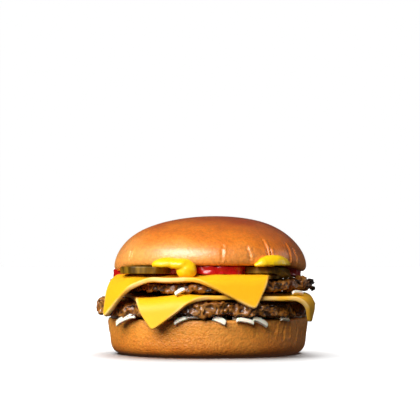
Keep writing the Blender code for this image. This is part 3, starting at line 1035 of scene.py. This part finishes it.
mustard_squeeze(
    "mustard_over_gherkin", "mustard_front_left",
    [
        ((-16.6, -41.8, 42.6), (9.2, 5.4, 3.5), 6, 41.6),
        ((-12.0, -43.4, 42.0), (6.6, 4.6, 3.8), 0, 41.4), ((-9.7, -44.6, 40.0), (4.7, 3.9, 4.2), 0, 37.0),
        ((-13.0, -44.4, 42.4), (5.4, 4.0, 2.9), -8, 41.0),
    ],
)
mustard_squeeze(
    "mustard_dome", "mustard_front_right",
    [((30.2, -36.6, 42.6), (9.8, 3.9, 4.5), 39, 42.2), ((25.6, -39.6, 42.4), (5.0, 2.6, 2.2), 33, 41.9)],
)
mustard_squeeze(
    "mustard_at_back", "mustard_back",
    [((-4.0, 42.4, 41.8), (7.6, 4.4, 3.0), 5, 38.4), ((3.5, 43.0, 40.6), (4.5, 3.8, 2.6), 0, 37.8)],
)


# ---- Crown bun -----------------------------------------------------------------------------------------
# The top half of the bun: a soft dome, glazed so that it bakes deep brown and shiny on top and golden at
# the sides. Its rim tucks under, and the skin is creased in short folds where it was pressed down.

crown_low, crown_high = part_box("crown_bun")
crown_radius = (crown_high.y - crown_low.y) / 2
crown_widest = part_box("pickle_front_left")[1].z + 3.2 * MM
crown_bottom = crown_widest - 2.7 * MM
crown_middle = 1.0 * MM  # it sits a little to the right
crown_height = crown_high.z - crown_widest
bpy.ops.object.select_all(action="DESELECT")
bpy.ops.mesh.primitive_cube_add(size=2 * crown_radius)
crown = bpy.context.active_object
begin(crown)
bpy.ops.mesh.subdivide(number_cuts=7)
bpy.ops.transform.tosphere(value=1)
bpy.ops.mesh.select_all(action="SELECT")
ball_radius = max(vert.co.length for vert in bmesh.from_edit_mesh(crown.data).verts)
bpy.ops.transform.resize(value=[crown_radius / ball_radius] * 3, center_override=(0, 0, 0))
select(crown, lambda place: place.z > 0)
bpy.ops.transform.resize(value=(1, 1, crown_height / crown_radius), center_override=(0, 0, 0))
select(crown, lambda place: place.z < -0.1 * crown_radius)
bpy.ops.transform.resize(value=(1, 1, 0), center_override=(0, 0, crown_bottom - crown_widest))
bpy.ops.mesh.select_all(action="SELECT")
bpy.ops.transform.translate(value=(crown_middle, 0, crown_widest))
shoulder = crown_widest + 0.68 * crown_height  # where the dome turns over to its flatter top
select(crown, lambda place: abs(place.z - shoulder) < 2.5 * MM)
bpy.ops.transform.resize(
    value=(0.965, 0.965, 1), center_override=(crown_middle, 0, shoulder), use_proportional_edit=True,
    proportional_edit_falloff="SMOOTH", proportional_size=9 * MM,
)
push(crown, lambda place: place.z > crown_high.z - 1.5 * MM, (2.4 * MM, 0, 0.2 * MM), 34 * MM)
for bearing in (180, 0):
    spot = around(crown_radius, bearing, crown_widest)
    push(
        crown, near_line(spot + around(8 * MM, 90, 0), spot - around(8 * MM, 90, 0), 4 * MM),
        (0, 0, -3.4 * MM), 17 * MM,
    )
rng = random.Random(17)
for bearing in range(0, 360, 36):
    spot = around(crown_radius, bearing + rng.uniform(-9, 9), crown_widest + 4 * MM)
    push(
        crown, near_line(spot, spot * 0.98, 5 * MM), around(rng.uniform(-0.7, 0.5) * MM, bearing, 0),
        15 * MM,
    )
end(crown, "crown_crust")
modify(crown, "SUBSURF", levels=4, render_levels=4)
fit_width(crown, crown_low, crown_high)
begin(crown)

# Each fold in the skin: its bearing, and the heights between which it runs
crown_creases = [
    (278.0, 44.6, 51.6), (295.0, 45.0, 50.8), (306.5, 46.0, 54.0), (309.0, 47.0, 50.0),
    (324.0, 43.5, 52.5), (332.0, 43.0, 50.0), (216.0, 45.0, 49.0), (18.0, 43.5, 51.0), (41.0, 44.0, 50.0),
    (77.0, 45.0, 51.0), (106.0, 44.5, 50.5), (139.0, 44.0, 51.5), (163.0, 43.0, 48.0),
]
for bearing, low, high in crown_creases:
    crease(crown, bearing, rng.uniform(-1.5, 1.5), low * MM, high * MM, 0.55 * MM, 1.0 * MM)
end(crown)
# Its last value, lean, makes the right side browner: partly uneven baking, partly painted shade.
crown.data.materials.append(
    baked_crust(
        "crown_crust", crown_bottom, crown_high.z, "f09e4c", "e07a1c", "a8420a", 0.38, 0.40, 0.90,
        46 * MM, 0.16,
    )
)
crown.data.materials.append(crumb)
begin(crown)
select(crown, lambda place: place.z < crown_bottom + 0.3 * MM and place.xy.length < crown_radius - 5 * MM)
crown.active_material_index = 1
bpy.ops.object.material_slot_assign()
end(crown)
finish_piece(crown, "bun_crust", "crown_bun")


# ---- Table, lamps and camera ---------------------------------------------------------------------------
# A plain white table and backdrop, one large soft lamp at the front left, two weak ones at the right and
# behind, a wide one for the table alone, and a camera with a long lens, just above the table.

bpy.ops.object.select_all(action="DESELECT")
bpy.ops.mesh.primitive_plane_add(size=8, location=(0, 0, -0.05 * MM))
table = bpy.context.active_object
table.name = "table"
table_white, _ = new_material("table_white", Base_Color=(0.85, 0.85, 0.85, 1), Roughness=0.7)
table.data.materials.append(table_white)
table.visible_diffuse = table.visible_glossy = False
bpy.ops.mesh.primitive_uv_sphere_add(segments=48, ring_count=24, radius=6)
backdrop = bpy.context.active_object
backdrop.name = "backdrop"
backdrop_white, _ = new_material(
    "backdrop_white", Base_Color=(0, 0, 0, 1), Emission_Color=(1, 1, 1, 1), Emission_Strength=1.0,
)
backdrop.data.materials.append(backdrop_white)
backdrop.visible_diffuse = backdrop.visible_glossy = backdrop.visible_shadow = False

world = bpy.data.worlds.new("room")
bpy.context.scene.world = world
world.use_nodes = True
world.node_tree.nodes["Background"].inputs["Color"].default_value = (1, 1, 1, 1)
world.node_tree.nodes["Background"].inputs["Strength"].default_value = 0.055


def soft_lamp(name, bearing, elevation, distance, width, height, watts):
    """A rectangular soft lamp, aimed at the middle of the burger."""
    target = Vector((0, 0, 0.035))
    place = target + around(
        distance * math.cos(math.radians(elevation)), bearing,
        distance * math.sin(math.radians(elevation)),
    )
    bpy.ops.object.light_add(type="AREA", location=place)
    lamp = bpy.context.active_object
    lamp.name = name
    lamp.data.shape = "RECTANGLE"
    lamp.data.size = width
    lamp.data.size_y = height
    lamp.data.energy = watts
    lamp.rotation_euler = (target - place).to_track_quat("-Z", "Y").to_euler()
    return lamp


burger = bpy.data.collections.new("burger")
for piece in bpy.context.scene.objects:
    if piece.type == "MESH" and piece not in (table, backdrop):
        burger.objects.link(piece)
for name, bearing, elevation, distance, width, height, watts in (
    ("key_lamp", 235, 34, 1.0, 0.9, 0.6, 20.5), ("edge_lamp", 8, 14, 1.3, 0.5, 0.6, 2.2),
    ("back_lamp", 75, 32, 1.3, 0.6, 0.6, 4),
):
    lamp = soft_lamp(name, bearing, elevation, distance, width, height, watts)
    lamp.light_linking.receiver_collection = burger
    lamp.visible_glossy = name != "back_lamp"
bpy.ops.object.light_add(
    type="SUN", location=(0, 0, 2), rotation=(math.radians(-24), math.radians(-8), 0),
)
table_lamp = bpy.context.active_object
table_lamp.name = "table_lamp"
table_lamp.data.energy = 5.2
table_lamp.data.angle = math.radians(84)
lit = bpy.data.collections.new("lit_by_table_lamp")
lit.objects.link(table)
table_lamp.light_linking.receiver_collection = lit

bpy.ops.object.camera_add(location=(1.0 * MM, -0.9, 50 * MM), rotation=(math.radians(91.18), 0, 0))
camera = bpy.context.active_object
camera.data.sensor_width = 36
camera.data.lens = 160.7
camera.data.clip_end = 50
bpy.context.scene.camera = camera
bpy.context.scene.view_settings.view_transform = "Standard"
